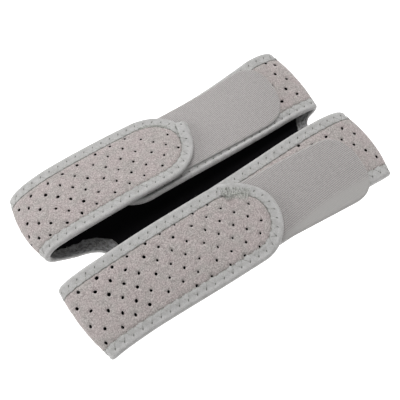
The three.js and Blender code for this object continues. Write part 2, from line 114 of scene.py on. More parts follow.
frontArmRows = [
    (97, -8.2, 0, 97, -57, 0, 0, 0),
    (102, -8, 0, 101.4, -57.2, 0, 0, 2.2),
    (107, -7.6, 0, 105.7, -57.6, 0, 0, 4.2),
    (111.2, -6.6, 1.8, 109.2, -58.2, 1.3, 0, 4.4),
    (113.6, -5.6, 6, 110.8, -59.1, 4.4, 0, 4.4),
    (112.3, -5.1, 11, 109.6, -59.8, 8.3, 0, 4.2),
    (107, -4.8, 15.6, 104.1, -59.9, 10.8, 0.4, 3.1),
    (96, -5, 19.6, 95, -59.6, 12, 0.8, 1.4),
    (80, -5.6, 22.4, 80, -59.5, 12.6, 1, 0.4),
    (60, -6, 22.6, 60, -59.5, 12.4, 1, 0),
    (35, -6.4, 20.8, 35, -59.6, 12, 1, 0),
    (5, -6.8, 19.2, 5, -59.7, 11.8, 1, 0),
    (-25, -7.2, 18.4, -25, -59.8, 11.7, 1, 0),
    (-45, -7.4, 18, -45, -59.8, 11.7, 1, 0),
]


def softStep(x, low, high):
    f = np.clip((x - low) / (high - low), 0, 1)
    return f * f * (3 - 2 * f)


def unit(vectors):
    return vectors / np.linalg.norm(vectors, axis=1)[:, None]


def pairs(a, b):
    # points from two rows of numbers, or from a row and one number
    return np.stack(np.broadcast_arrays(a, b), axis=1)


def smoothCurve(points, steps):
    # centripetal spline through the points, steps samples to each stretch
    p = np.asarray(points, float)
    ends = np.vstack([2 * p[0] - p[1], p, 2 * p[-1] - p[-2]])
    f = np.linspace(0, 1, steps, endpoint=False)[:, None]
    stretches = []
    for k in range(len(p) - 1):
        p0, p1, p2, p3 = ends[k:k + 4]
        d0 = math.sqrt(np.linalg.norm(p1 - p0))
        d1 = math.sqrt(np.linalg.norm(p2 - p1))
        d2 = math.sqrt(np.linalg.norm(p3 - p2))
        m1 = d1 * ((p1 - p0) / d0 - (p2 - p0) / (d0 + d1) + (p2 - p1) / d1)
        m2 = d1 * ((p2 - p1) / d1 - (p3 - p1) / (d1 + d2) + (p3 - p2) / d2)
        bend = -3 * p1 + 3 * p2 - 2 * m1 - m2
        twist = 2 * p1 - 2 * p2 + m1 + m2
        stretches.append(p1 + m1 * f + bend * f ** 2 + twist * f ** 3)
    stretches.append(p[-1:])
    return np.vstack(stretches)


class BentArm:
    # a band bent in space: s runs along it from the fold line, v across it from its inner edge
    steps = 40
    pastFold = 6  # from this row on the arm lies over the base

    def __init__(self, rows, faceSide, tipInner, tipOuter):
        rows = np.asarray(rows, float)
        self.last = len(rows) - 1
        rails = [smoothCurve(rows[:, k:k + 3], self.steps) for k in (0, 3)]
        self.q = np.arange(len(rails[0])) / self.steps
        swells = [np.interp(self.q, np.arange(len(rows)), rows[:, k]) for k in (6, 7)]
        self.rows = np.column_stack([*rails, *swells])  # fine rows, in the order of the table
        self.rows[:, 7] *= np.sign(rows[0, 0])
        self.foldCorner = rails[1][0]
        self.faceSide = faceSide
        self.tipInner = tipInner  # how far the rounding of the tip reaches back
        self.tipOuter = tipOuter
        middle = self.surface(self.q, np.full(len(self.q), 0.5))
        stepLengths = np.linalg.norm(np.diff(middle, axis=0), axis=1)
        self.lengths = np.concatenate([[0], np.cumsum(stepLengths)])
        self.reach = self.lengths[-1]

    def surface(self, q, t):
        x = np.clip(q, 0, self.last) * self.steps
        k = np.minimum(x.astype(int), len(self.rows) - 2)
        row = self.rows[k] + (self.rows[k + 1] - self.rows[k]) * (x - k)[:, None]
        p = row[:, :3] + (row[:, 3:6] - row[:, :3]) * t[:, None]
        swell = 4 * t * (1 - t)
        p[:, 2] += swell * row[:, 6]
        p[:, 0] += swell * row[:, 7]
        p[:, 2] = np.maximum(p[:, 2], 0)
        return p

    def at(self, s, v, depth):
        q = np.interp(s, self.lengths, self.q)
        t = v / bandWidth
        small = 0.02
        ahead = np.minimum(q + small, self.last)
        behind = np.maximum(q - small, 0)
        along = self.surface(ahead, t) - self.surface(behind, t)
        across = self.surface(q, t + small) - self.surface(q, t - small)
        normal = self.faceSide * unit(np.cross(along, across))
        # past the end of the table the arm goes straight on
        over = np.maximum(s - self.reach, 0)[:, None]
        return self.surface(q, t) + unit(along) * over - normal * np.asarray(depth)[:, None]


arms = {
    "backTab": BentArm(backTabRows, 1, 29.4, 29.4),
    "backArm": BentArm(backArmRows, -1, 26.0, 26.0),
    "frontTab": BentArm(frontTabRows, -1, 34.0, 27.0),
    "frontArm": BentArm(frontArmRows, 1, 26.0, 26.0),
}


def placeCut(region, a, b, depth):
    # from the flat cut to space: (s, v) on an arm, (x, y) on the base
    a, b, depth = np.broadcast_arrays(np.asarray(a, float), b, depth)
    if region == "base":
        return np.stack([a, b, depth], axis=1)
    return arms[region].at(a.ravel(), b.ravel(), depth.ravel())


def tipEdge(arm, angles):
    # round tip: place on the cut and the way in from the edge
    half = bandWidth / 2
    reach = np.where(angles > 0, arm.tipOuter, arm.tipInner)
    s = arm.reach - reach + reach * np.cos(angles)
    v = half + half * np.sin(angles)
    inS = -np.cos(angles) / reach
    inV = -np.sin(angles) / half
    size = np.hypot(inS, inV)
    return s, v, inS / size, inV / size


def notchEdge(rows, step):
    # notch at even steps: place on the base and the way in from the edge
    curve = smoothCurve(rows, 20)
    lengths = np.concatenate([[0], np.cumsum(np.hypot(*np.diff(curve, axis=0).T))])
    stops = np.linspace(0, lengths[-1], int(lengths[-1] / step) + 2)
    x = np.interp(stops, lengths, curve[:, 0])
    y = np.interp(stops, lengths, curve[:, 1])
    aheadX = np.gradient(x)
    aheadY = np.gradient(y)
    size = np.hypot(aheadX, aheadY)
    return x, y, -aheadY / size, aheadX / size


def outlineRuns(step):
    # the edge of the whole cut as runs in order: region, place on the cut, way in from the edge
    runs = []

    def side(name, outer, toTip):
        arm = arms[name]
        v, inV, rounding = (bandWidth, -1.0, arm.tipOuter) if outer else (0.0, 1.0, arm.tipInner)
        end = arm.reach - rounding
        s = np.linspace(0, end, int(end / step))[1:]
        runs.append((name, s if toTip else s[::-1], v, 0.0, inV))

    def tip(name, fromOuter):
        angles = np.linspace(math.pi / 2, -math.pi / 2, int(cut["tipWay"] / step))[1:-1]
        runs.append((name, *tipEdge(arms[name], angles if fromOuter else -angles)))

    def baseSide(back):
        folds = (cut["foldLeft"], cut["foldRight"])
        x = np.linspace(*folds, int(baseLength / step))
        band = "back" if back else "front"
        y = np.interp(x, folds, [arms[band + end].foldCorner[1] for end in ("Tab", "Arm")])
        way = -1 if back else 1
        runs.append(("base", x[::way], y[::way], 0.0, float(way)))

    def roundArm(name, outerFirst):
        side(name, outerFirst, True)
        tip(name, outerFirst)
        side(name, not outerFirst, False)

    roundArm("backTab", True)
    runs.append(("base", *notchEdge(leftNotch, step)))
    roundArm("frontTab", False)
    baseSide(False)
    roundArm("frontArm", True)
    runs.append(("base", *notchEdge(rightNotch, step)))
    roundArm("backArm", False)
    baseSide(True)
    return runs


class CutEdge:
    # a row of stations along the cut edge that can be placed at any inset and depth
    lineInset = 2.0  # the way round is measured on this line
    lineDepth = 1.6

    def __init__(self, region, a, b, inA, inB):
        self.region = region
        self.a = a
        self.b = b
        self.inA = inA
        self.inB = inB
        self.count = len(a)
        middle = self.place(np.full(self.count, self.lineInset), np.full(self.count, self.lineDepth))
        gaps = np.linalg.norm(np.diff(middle, axis=0, append=middle[:1]), axis=1)
        self.along = np.concatenate([[0], np.cumsum(gaps)[:-1]])
        self.around = gaps.sum()

    def place(self, inset, depth, rows=None):
        rows = np.arange(self.count) if rows is None else rows
        out = np.zeros((len(rows), 3))
        a = self.a[rows] + self.inA[rows] * inset
        b = self.b[rows] + self.inB[rows] * inset
        for name in ("base", *arms):
            own = self.region[rows] == name
            if own.any():
                out[own] = placeCut(name, a[own], b[own], np.asarray(depth)[own])
        return out

    def nearest(self, name, a, b):
        gap = np.hypot(self.a - a, self.b - b)
        gap[self.region != name] = farAway
        return int(np.argmin(gap))


def wholeEdge(step):
    runs = outlineRuns(step)
    region = np.concatenate([[run[0]] * len(run[1]) for run in runs])
    return CutEdge(region, *np.hstack([np.broadcast_arrays(*run[1:]) for run in runs]))


def makePiece(name, points, faces, materials, flatCut, faceSlots=None):
    # flatCut: place on the cut in mm and one more distance, for the finishes
    points = np.array(points)
    points[:, 2] = np.maximum(points[:, 2], 0)  # nothing sinks into the table
    mesh = bpy.data.meshes.new(name)
    mesh.from_pydata([tuple(p) for p in points * mm], [], faces)
    for material in materials:
        mesh.materials.append(material)
    if faceSlots is not None:
        mesh.polygons.foreach_set("material_index", np.asarray(faceSlots, np.int32))
    layer = mesh.attributes.new("flatCut", "FLOAT_VECTOR", "POINT")
    layer.data.foreach_set("vector", np.asarray(flatCut, np.float32).ravel())
    mesh.polygons.foreach_set("use_smooth", np.full(len(mesh.polygons), True))
    mesh.update()
    piece = bpy.data.objects.new(name, mesh)
    bpy.context.scene.collection.objects.link(piece)
    tidyFaces(piece)
    print(name, "has", len(mesh.polygons), "faces")
    return piece


joinGap = 0.02 * mm


def tidyFaces(piece):
    # drops loose points, joins the regions along the fold lines and turns every face outwards
    bm = bmesh.new()
    bm.from_mesh(piece.data)
    bmesh.ops.delete(bm, geom=[v for v in bm.verts if not v.link_faces], context="VERTS")
    bmesh.ops.remove_doubles(bm, verts=bm.verts, dist=joinGap)
    bmesh.ops.recalc_face_normals(bm, faces=bm.faces)
    if bm.calc_volume(signed=True) < 0:
        bmesh.ops.reverse_faces(bm, faces=bm.faces)
    bm.to_mesh(piece.data)
    bm.free()


def linear(red, green, blue):
    # from picture values 0 to 255 to a linear colour
    values = [c / 255 for c in (red, green, blue)]
    return [c / 12.92 if c <= 0.04045 else ((c + 0.055) / 1.055) ** 2.4 for c in values] + [1.0]


bumpDepth = 0.3 * mm


class Finish:
    # a material with short ways to add nodes
    def __init__(self, name, colour, roughness, sheen=0.0):
        self.material = bpy.data.materials.new(name)
        self.material.use_nodes = True
        self.nodes = self.material.node_tree.nodes
        self.links = self.material.node_tree.links
        self.shader = self.nodes["Principled BSDF"]
        inputs = {"Base Color": colour, "Roughness": roughness, "Specular IOR Level": 0.2}
        if sheen:
            inputs.update({"Sheen Weight": sheen, "Sheen Roughness": 0.6})
        for key, value in inputs.items():
            self.shader.inputs[key].default_value = value
        self.material.diffuse_color = colour

    def put(self, socket, value):
        if isinstance(value, bpy.types.NodeSocket):
            self.links.new(value, socket)
        else:
            socket.default_value = value

    def node(self, kind, inputs, **settings):
        made = self.nodes.new(kind)
        for key, value in settings.items():
            setattr(made, key, value)
        for key, value in inputs.items():
            self.put(made.inputs[key], value)
        return made

    def flatCut(self):
        return self.node("ShaderNodeAttribute", {}, attribute_name="flatCut").outputs["Vector"]

    def split(self, vector):
        return self.node("ShaderNodeSeparateXYZ", {0: vector}).outputs

    def math(self, operation, *values):
        return self.node("ShaderNodeMath", dict(enumerate(values)), operation=operation).outputs[0]

    def stretch(self, vector, size, turn=0.0):
        # a pattern drawn size times as large, its axes turned by some degrees
        inputs = {"Vector": vector, "Scale": size, "Rotation": (0, 0, math.radians(turn))}
        return self.node("ShaderNodeMapping", inputs, vector_type="TEXTURE").outputs["Vector"]

    def noise(self, vector, scale, detail=2.0, rough=0.5):
        inputs = {"Vector": vector, "Scale": scale, "Detail": detail, "Roughness": rough}
        return self.node("ShaderNodeTexNoise", inputs).outputs["Fac"]

    def fade(self, value, low, high):
        # 1 below low, 0 above high
        inputs = {"Value": value, "From Min": low, "From Max": high, "To Min": 1.0, "To Max": 0.0}
        return self.node("ShaderNodeMapRange", inputs, interpolation_type="SMOOTHSTEP").outputs["Result"]

    def ramp(self, value, *stops):
        node = self.node("ShaderNodeValToRGB", {0: value})
        while len(node.color_ramp.elements) < len(stops):
            node.color_ramp.elements.new(0.5)
        for element, (place, colour) in zip(node.color_ramp.elements, stops):
            element.position = place
            element.color = linear(*colour)
        return node.outputs["Color"]

    def blend(self, kind, amount, first, second):
        inputs = {"Factor": amount, 6: first, 7: second}
        return self.node("ShaderNodeMix", inputs, data_type="RGBA", blend_type=kind).outputs[2]

    def colour(self, value):
        self.put(self.shader.inputs["Base Color"], value)

    def bump(self, height, strength):
        inputs = {"Strength": strength, "Distance": bumpDepth, "Height": height}
        node = self.node("ShaderNodeBump", inputs)
        self.put(self.shader.inputs["Normal"], node.outputs["Normal"])


# perforated outer cloth: warm gray brushed knit, lines turned a little from straight across
shellCloth = {
    "dark": (138, 129, 127),
    "mid": (182, 173, 171),
    "light": (221, 213, 211),
    "pink": (186, 173, 172),
    "sage": (174, 172, 167),
    "groove": (136, 129, 124),  # painted shade just past the raw edge of the binding
    "loopSize": (0.8, 1.9, 1.0),  # across and along the knit lines
    "lineTurn": 17.0,
}


def makeShellCloth():
    look = shellCloth
    finish = Finish("shellCloth", linear(*look["mid"]), 0.95, sheen=0.12)
    place = finish.flatCut()
    axes = finish.split(place)
    loops = finish.noise(finish.stretch(place, look["loopSize"], look["lineTurn"]), 1.0, 2.0, 0.6)
    fuzz = finish.noise(place, 1.35, 1.0, 0.6)
    tone = finish.math("ADD", finish.math("MULTIPLY", loops, 0.5), finish.math("MULTIPLY", fuzz, 0.5))
    cloth = finish.ramp(tone, (0.385, look["dark"]), (0.5, look["mid"]), (0.615, look["light"]))
    tint = finish.ramp(finish.noise(place, 0.11, 2.0), (0.40, look["pink"]), (0.62, look["sage"]))
    cloth = finish.blend("MIX", 0.35, cloth, tint)
    # painted shade line just past the raw edge of the tape, broken into dashes
    shadeDashes = finish.fade(finish.noise(place, 0.7, 2.0), 0.40, 0.56)
    groove = finish.math("MULTIPLY", finish.fade(axes["Z"], 0.1, 0.8), shadeDashes)
    finish.colour(finish.blend("MIX", groove, cloth, linear(*look["groove"])))
    finish.bump(tone, 0.7)
    return finish.material


# cut foam in the holes
holeWall = {"plain": (20, 18, 18), "dark": (22, 20, 20), "light": (58, 53, 52)}


def makeHoleWall():
    look = holeWall
    finish = Finish("holeWall", linear(*look["plain"]), 0.95)
    grain = finish.noise(finish.flatCut(), 3.0)
    finish.colour(finish.ramp(grain, (0.3, look["dark"]), (0.7, look["light"])))
    return finish.material


# inner cloth: black jersey
liningCloth = {"dark": (9, 8, 11), "light": (17, 16, 19), "ribWidth": 0.9}


def makeLiningCloth():
    look = liningCloth
    finish = Finish("liningCloth", linear(*look["dark"]), 0.95)
    place = finish.flatCut()
    rib = finish.math("PINGPONG", finish.split(place)["Y"], look["ribWidth"] / 2)
    fuzz = finish.noise(finish.stretch(place, (1.7, 0.5, 1.0)), 1.6, 3.0)
    height = finish.math("ADD", rib, finish.math("MULTIPLY", fuzz, 0.4))
    finish.colour(finish.ramp(fuzz, (0.3, look["dark"]), (0.75, look["light"])))
    finish.bump(height, 0.3)
    return finish.material


# edge binding: cool light gray jersey tape, a needle mark of painted shade at every stitch
bindingTape = {
    "dark": (180, 179, 178),
    "light": (208, 207, 206),
    # painted shade of the needle holes
    "mark": (106, 108, 103),
    # painted shade line along the raw edge of the tape
    "rawEdge": (146, 146, 141),
    "cloud": (212, 212, 210),  # large soft patches
    # painted shade for the inside half of the tape, dark and light ends
    "gatherShadeDark": (160, 160, 160),
    "gatherShadeLight": (222, 223, 226),
    "width": 7.8,  # on each face
    "notchExtra": 1.6,  # added in the left notch
    "thick": 0.6,
    "stitchLength": 6.25,  # about, it is fitted to the way round
    "innerRow": 3.9,  # needle row from the folded edge
    "outerRow": 8.2,  # needle row just past the raw edge of the tape
    "roll": 0.26,  # swell of the folded edge
    "press": 0.2,  # where the stitches pull it down
}


def makeBindingTape(step):
    look = bindingTape
    finish = Finish("bindingTape", linear(*look["light"]), 0.9, sheen=0.08)
    place = finish.flatCut()
    axes = finish.split(place)
    knit = finish.noise(finish.stretch(place, (1.0, 0.56, 1.0)), 1.7, 2.0, 0.6)
    cloth = finish.ramp(knit, (0.32, look["dark"]), (0.66, look["light"]))
    soft = finish.ramp(finish.noise(place, 0.25, 1.0), (0.3, look["cloud"]), (0.6, (255, 255, 255)))
    cloth = finish.blend("MULTIPLY", 0.4, cloth, soft)
    # painted shade over the inside half, in streaks like small gathers
    gatherShadeNoise = finish.noise(finish.stretch(place, (1.9, 7.0, 1.0), 12.0), 1.0, 1.0, 0.5)
    inside = finish.math("SUBTRACT", 1.0, finish.fade(axes["Y"], 0.2, 1.2))
    shade = finish.ramp(gatherShadeNoise, (0.36, look["gatherShadeDark"]), (0.64, look["gatherShadeLight"]))
    cloth = finish.blend("MULTIPLY", inside, cloth, shade)
    # slanted needle marks of the inner row, painted shade of the needle holes
    aboveZero = 500.5 * step  # whole stitches and a half, so that no remainder is negative
    inStitch = finish.math("MODULO", finish.math("ADD", axes["X"], aboveZero), step)
    fromMark = finish.math("SUBTRACT", inStitch, step / 2)
    offRow = finish.math("SUBTRACT", finish.math("ABSOLUTE", axes["Y"]), look["innerRow"])
    slant = finish.math("ADD", fromMark, finish.math("MULTIPLY", offRow, 0.5))
    wide = finish.math("POWER", finish.math("DIVIDE", slant, 0.5), 2.0)
    high = finish.math("POWER", finish.math("DIVIDE", offRow, 0.8), 2.0)
    apart = finish.math("SQRT", finish.math("ADD", wide, high))
    ragged = finish.math("ADD", apart, finish.math("MULTIPLY", finish.noise(place, 1.1, 1.0), 0.7))
    mark = finish.fade(ragged, 0.75, 1.5)
    cloth = finish.blend("MIX", mark, cloth, linear(*look["mark"]))
    # painted shade line along the raw edge, broken into dashes
    shadeDashes = finish.fade(finish.noise(place, 0.8, 1.0), 0.40, 0.66)
    rawEdge = finish.math("MULTIPLY", finish.fade(axes["Z"], 0.2, 0.7), shadeDashes)
    finish.colour(finish.blend("MIX", rawEdge, cloth, linear(*look["rawEdge"])))
    finish.bump(finish.math("SUBTRACT", finish.math("MULTIPLY", knit, 0.5), mark), 0.6)
    return finish.material


sewingThread = {"plain": (168, 168, 165), "dark": (136, 138, 132), "light": (208, 209, 204)}


def makeThread():
    look = sewingThread
    finish = Finish("sewingThread", linear(*look["plain"]), 0.7)
    twist = finish.noise(finish.flatCut(), 0.9, 2.0)
    finish.colour(finish.ramp(twist, (0.36, look["dark"]), (0.62, look["light"])))
    return finish.material


# hook tape: close-ribbed woven strap with a sealed rim
hookTape = {
    "dark": (140, 136, 135),
    "light": (204, 200, 199),
    # sealed rim and smooth border: their own smooth colour, lightened in part as a painted highlight on
    # the edge
    "rim": (183, 181, 179),
    "ribStep": 1.1,
    "ribTurn": 9.5,  # ribs lean off the length of the strap
    "pickStep": 1.1,  # along the strap
    "pickSlant": 0.8,
    "width": 45.0,
    "thick": 1.1,
    "tipLength": 20.0,
    "rise": 0.45,  # above the arm below
    "rimWidth": 0.8,
    "rimThick": 0.6,  # share of the thickness left at the rim
    "rimFall": 0.9,
    "rows": 60,
    "tipRows": 26,
    "columns": 41,
    "tipEase": 0.82,
    "narrowest": 0.6,
    "rimFade": 0.7,  # the rim starts at this share of its width
    "borderFade": 17.0,
    "borderLevel": 0.85,
    "borderGrows": (-0.05, 0.8),  # in lengths of the strap
}


def makeHookTape():
    look = hookTape
    finish = Finish("hookTape", linear(*look["light"]), 0.8)
    place = finish.flatCut()
    axes = finish.split(place)
    lean = math.radians(look["ribTurn"])
    offRib = finish.math("MULTIPLY_ADD", axes["X"], -math.tan(lean), axes["Y"])
    ribTurns = 2 * math.pi * math.cos(lean) / look["ribStep"]
    rib = finish.math("SINE", finish.math("MULTIPLY", offRib, ribTurns))
    slanted = finish.math("MULTIPLY_ADD", axes["Y"], look["pickSlant"], axes["X"])
    pick = finish.math("SINE", finish.math("MULTIPLY", slanted, 2 * math.pi / look["pickStep"]))
    weave = finish.math("MULTIPLY", rib, finish.math("MULTIPLY_ADD", pick, 0.25, 0.75))
    yarn = finish.noise(finish.stretch(place, (0.8, 0.8, 1.0)), 1.0, 2.0)
    uneven = finish.math("MULTIPLY_ADD", yarn, 0.5, 0.25)
    tone = finish.math("MULTIPLY_ADD", weave, 0.27, uneven)
    cloth = finish.ramp(tone, (0.22, look["dark"]), (0.78, look["light"]))
    # sealed rim and smooth border, their lighter tone partly a painted highlight
    rimAndSheen = finish.fade(axes["Z"], look["rimWidth"] * look["rimFade"], look["rimWidth"])
    finish.colour(finish.blend("MIX", rimAndSheen, cloth, linear(*look["rim"])))
    finish.bump(tone, 0.35)
    return finish.material


edgeStep = 0.45  # between stations of the cut edge
fineEdge = wholeEdge(edgeStep)
stitchStep = fineEdge.around / round(fineEdge.around / bindingTape["stitchLength"])
shellMaterial = makeShellCloth()
holeMaterial = makeHoleWall()
liningMaterial = makeLiningCloth()
tapeMaterial = makeBindingTape(stitchStep)
threadMaterial = makeThread()
hookMaterial = makeHookTape()
print("finishes made, stitch length", round(stitchStep, 2))

# punched holes, mm: columns stand in blocks along a band, every second row of a column is punched
punch = {
    "radius": 0.81,
    "uneven": 0.24,  # how much a hole may be stretched or shrunk
    "drawn": (1.3, 0.92),  # how far holes are drawn open near the folds and near the tips
    "drawnAt": (45, 105),
    "sides": 12,
    "blockColumns": 6,
    "blockSpace": 2.7,  # extra room between blocks
    "fromEdge": 8.0,  # nearest hole centre to the cut edge
    "fromFold": 1.6,  # to a fold line, in radii
    "strayReach": 3.0,  # a stray hole takes the place of those this near
    "driftEnd": 100.0,
    "baseReach": 120.0,
    "columns": 40,  # more than enough
    "rows": 12,
    "rim": 0.12,  # the rim of a hole is pressed in
}
# region: place of a block's first column, column step, row step, middle row and where it is read,
# drift of the rows, tilt of the columns at the fold and at the tip, rows shifted by one, last block
punchRows = {
    "backTab": (54.8, 5.4, 6.4, 29.4, 60.0, 0.042, -0.075, 0.0, 1, 9),
    "backArm": (39.8, 5.4, 6.7, 27.8, 26.2, 0.0, -0.056, -0.02, 0, 9),
    "frontTab": (46.2, 5.3, 6.15, 28.0, 66.8, -0.04, 0.045, 0.03, 0, 2),
    "frontArm": (57.2, 5.7, 6.6, 26.3, 39.6, 0.0, 0.085, 0.0, 0, 9),
    "base": (4.0, 5.4, 6.4, 2.0, 0.0, 0.0, 0.0, 0.0, 0, 9),
}

# holes that are left out of the pattern, and holes that stray from it, by their place on the cut
missedHoles = {
    "backTab": [(30.0, 34.6), (31.6, 9.0), (130.2, 43.9), (135.7, 37.5), (135.9, 11.9)],
    "frontTab": [(26.9, 11.1), (27.5, 23.4), (28.0, 35.7), (146.6, 14.4), (157.6, 26.7)],
    "backArm": [(20.5, 34.5), (21.2, 21.1), (39.1, 41.2)],
    "frontArm": [(30.7, 13.1), (31.7, 26.3), (43.9, 39.5)],
}
strayHoles = {
    "backTab": [(29.9, 19.4), (33.9, 39.5), (34.5, 26.8), (35.1, 13.0), (41.1, 21.1)],
    "frontTab": [
        (31.2, 17.8), (31.2, 31.0), (31.6, 43.8), (37.4, 24.2),
        (37.4, 37.2), (45.6, 30.0), (46.4, 42.4), (51.6, 35.8),
    ],
    "backArm": [(31.0, 45.1)],
    "frontArm": [(75.9, 8.7)],
}


def punchCentres(name):
    (start, columnStep, rowStep, rowMiddle, rowRead,
     drift, tiltFold, tiltTip, shift, last) = punchRows[name]
    reach = punch["baseReach"] if name == "base" else arms[name].reach
    low = -reach if name == "base" else 0.0
    centres = []
    for column in range(-punch["columns"], punch["columns"]):
        block = min(column // punch["blockColumns"], last)
        s = start + column * columnStep + block * punch["blockSpace"]
        if not low < s < reach:
            continue
        tilt = tiltFold + (tiltTip - tiltFold) * min(max(s, 0) / reach, 1)
        for row in range(-punch["rows"], punch["rows"] + 1):
            if (column + row + shift) % 2:
                continue
            v = rowMiddle + drift * (min(s, punch["driftEnd"]) - rowRead) + row * rowStep
            across = v if name == "base" else v - bandWidth / 2
            centres.append((s + tilt * across, v))
    centres = np.array(centres)
    strays = strayHoles.get(name, [])
    for spot in missedHoles.get(name, []) + strays:
        centres = centres[np.hypot(*(centres - spot).T) > punch["strayReach"]]
    return np.vstack([centres, *strays])


def punchRings(centres, seed, folded):
    # outline of each hole, no two quite alike
    chance = np.random.default_rng(seed)
    turn = np.linspace(0, 2 * math.pi, punch["sides"], endpoint=False)
    rings = []
    for centre in centres:
        drawn = np.interp(centre[0], punch["drawnAt"], punch["drawn"]) if folded else 1.0
        long, short = punch["radius"] * drawn * (1 + chance.uniform(-1, 1, 2) * punch["uneven"])
        lean = chance.uniform(0, math.pi)
        oval = pairs(long * np.cos(turn), short * np.sin(turn))
        spin = np.array([[math.cos(lean), math.sin(lean)], [-math.sin(lean), math.cos(lean)]])
        rings.append(centre + oval @ spin)
    return rings


runOn = {"arm": -40.0, "base": 140.0}  # how far the edges of a region run on past its fold lines, mm


def trueEdges(name):
    # polylines of the cut edge seen from one region
    if name != "base":
        s, v, _, _ = tipEdge(arms[name], np.linspace(-math.pi / 2, math.pi / 2, 60))
        return [np.vstack([(runOn["arm"], 0.0), pairs(s, v), (runOn["arm"], bandWidth)])]
    lines = []
    out = runOn["base"]
    for rows, far in ((leftNotch, -out), (rightNotch, out)):
        x, y, _, _ = notchEdge(rows, 1.0)
        lines.append(np.vstack([(far, y[0]), pairs(x, y), (far, y[-1])]))
    for side in ("back", "front"):
        tab = arms[side + "Tab"].foldCorner
        arm = arms[side + "Arm"].foldCorner
        lines.append(np.array([(-out, tab[1]), tab[:2], arm[:2], (out, arm[1])]))
    return lines


def distanceTo(lines, points):
    # shortest distance from each point to the polylines
    best = np.full(len(points), farAway)
    for line in lines:
        for p, q in zip(line[:-1], line[1:]):
            way = q - p
            f = np.clip(((points - p) @ way) / (way @ way), 0, 1)
            best = np.minimum(best, np.linalg.norm(points - p - f[:, None] * way, axis=1))
    return best


def regionLoop(name, inset, step):
    # closed loop round one region, with the arm and v of each point that lies on a fold line
    rungs = np.linspace(inset, bandWidth - inset, int(bandWidth / step))
    if name != "base":
        arm = arms[name]
        lowS = np.linspace(0, arm.reach - arm.tipInner, int(arm.reach / step))[1:]
        highS = np.linspace(arm.reach - arm.tipOuter, 0, int(arm.reach / step))[:-1]
        turn = np.linspace(-math.pi / 2, math.pi / 2, int(cut["tipWay"] / step))[1:-1]
        tipS, tipV, inS, inV = tipEdge(arm, turn)
        low = pairs(lowS, inset)
        tip = pairs(tipS + inS * inset, tipV + inV * inset)
        high = pairs(highS, bandWidth - inset)
        fold = pairs(0.0, rungs[::-1])
        marks = [None] * (len(low) + len(tip) + len(high)) + [(name, v) for v in rungs[::-1]]
        return np.vstack([low, tip, high, fold]), marks
    parts = []
    marks = []

    def foldLine(armName, vs):
        parts.append(placeCut(armName, 0.0, vs, 0.0)[:, :2])
        marks.extend((armName, v) for v in vs)

    def plain(points):
        parts.append(points)
        marks.extend([None] * len(points))

    def notch(rows):
        x, y, inX, inY = notchEdge(rows, step)
        plain(pairs(x + inX * inset, y + inY * inset)[1:-1])

    def longSide(fromArm, toArm):
        start, end = (placeCut(name, 0.0, [bandWidth - inset], 0.0)[0, :2] for name in (fromArm, toArm))
        plain(start + (end - start) * np.linspace(0, 1, int(baseLength / step))[1:-1, None])

    foldLine("backTab", rungs[::-1])
    notch(leftNotch)
    foldLine("frontTab", rungs)
    longSide("frontTab", "frontArm")
    foldLine("frontArm", rungs[::-1])
    notch(rightNotch)
    foldLine("backArm", rungs)
    longSide("backArm", "backTab")
    return np.vstack(parts), marks


def insideLoop(loop, points):
    inside = np.zeros(len(points), bool)
    for p, q in zip(loop, np.roll(loop, -1, axis=0)):
        crosses = (p[1] > points[:, 1]) != (q[1] > points[:, 1])
        if p[1] != q[1]:
            at = p[0] + (q[0] - p[0]) * (points[:, 1] - p[1]) / (q[1] - p[1])
            inside ^= crosses & (points[:, 0] < at)
    return inside


# where each region stands on the finishes, so that no two share a place
regionShift = {
    "base": (0, 0),
    "backTab": (400, 0),
    "backArm": (0, 400),
    "frontTab": (400, 400),
    "frontArm": (0, 800),
}

# padded wall: held down under the binding, swelling beside it
padding = {
    "underTape": 0.8,
    "tuck": (-0.45, 0.55),  # beside the raw edge of the tape, where the cloth rises
    "puff": 0.12,
    "puffAt": (9, 14),  # from the cut edge
    "notchReach": 20.0,  # the wider tape of the left notch lies this near the middle
    "shellInner": 2.0,
    "liningTop": 2.2,
    "shellInset": 1.4,
    "liningInset": 6.0,
    "shellStep": 2.3,  # between points
    "liningStep": 3.0,
}

# spacing of the points of a sheet
spacing = {
    "fromLoop": 0.55,  # in steps of the sheet
    "fromRail": 0.4,
    "alongRail": 0.7,
    "roundHole": 1.7,  # in radii of a hole
    "fromFold": 1.0,  # mm
    "same": 1e-5,
}
insideOnly = 1  # the triangulation keeps only what lies inside the loop


def tuckRails(name, step):
    # two rows of points beside the raw edge of the tape, where the cloth is tucked under it
    rails = []
    for past in padding["tuck"]:
        loop, marks = regionLoop(name, bindingTape["width"] + past, step * spacing["alongRail"])
        free = np.array([mark is None for mark in marks])
        if name != "base":
            free &= loop[:, 0] > spacing["fromFold"]
        rails.append(loop[free])
    return rails


def holesIn(region, loop, edges):
    # hole centres of one region, clear of the cut edge and the fold lines
    centres = punchCentres(region)
    centres = centres[insideLoop(loop, centres)]
    centres = centres[distanceTo(edges, centres) > punch["fromEdge"]]
    folds = (cut["foldLeft"], cut["foldRight"]) if region == "base" else (0.0,)
    foldLines = np.array([[(f, -runOn["base"]), (f, runOn["base"])] for f in folds])
    return centres[distanceTo(foldLines, centres) > punch["radius"] * punch["fromFold"]]


def fillPoints(region, loop, centres, step):
    # staggered points inside the loop and the tuck rails, clear of the holes
    low = loop.min(axis=0)
    high = loop.max(axis=0)
    columns = np.arange(low[0], high[0], step)
    gridA, gridB = np.meshgrid(columns, np.arange(low[1], high[1], step), indexing="ij")
    gridB = gridB + (np.arange(len(columns))[:, None] % 2) * step / 2
    grid = pairs(gridA.ravel(), gridB.ravel())
    grid = grid[insideLoop(loop, grid)]
    grid = grid[distanceTo([np.vstack([loop, loop[:1]])], grid) > step * spacing["fromLoop"]]
    rails = tuckRails(region, step)
    grid = np.vstack([grid[distanceTo(rails, grid) > step * spacing["fromRail"]], *rails])
    for c in centres:
        grid = grid[np.hypot(*(grid - c).T) > punch["radius"] * spacing["roundHole"]]
    return grid


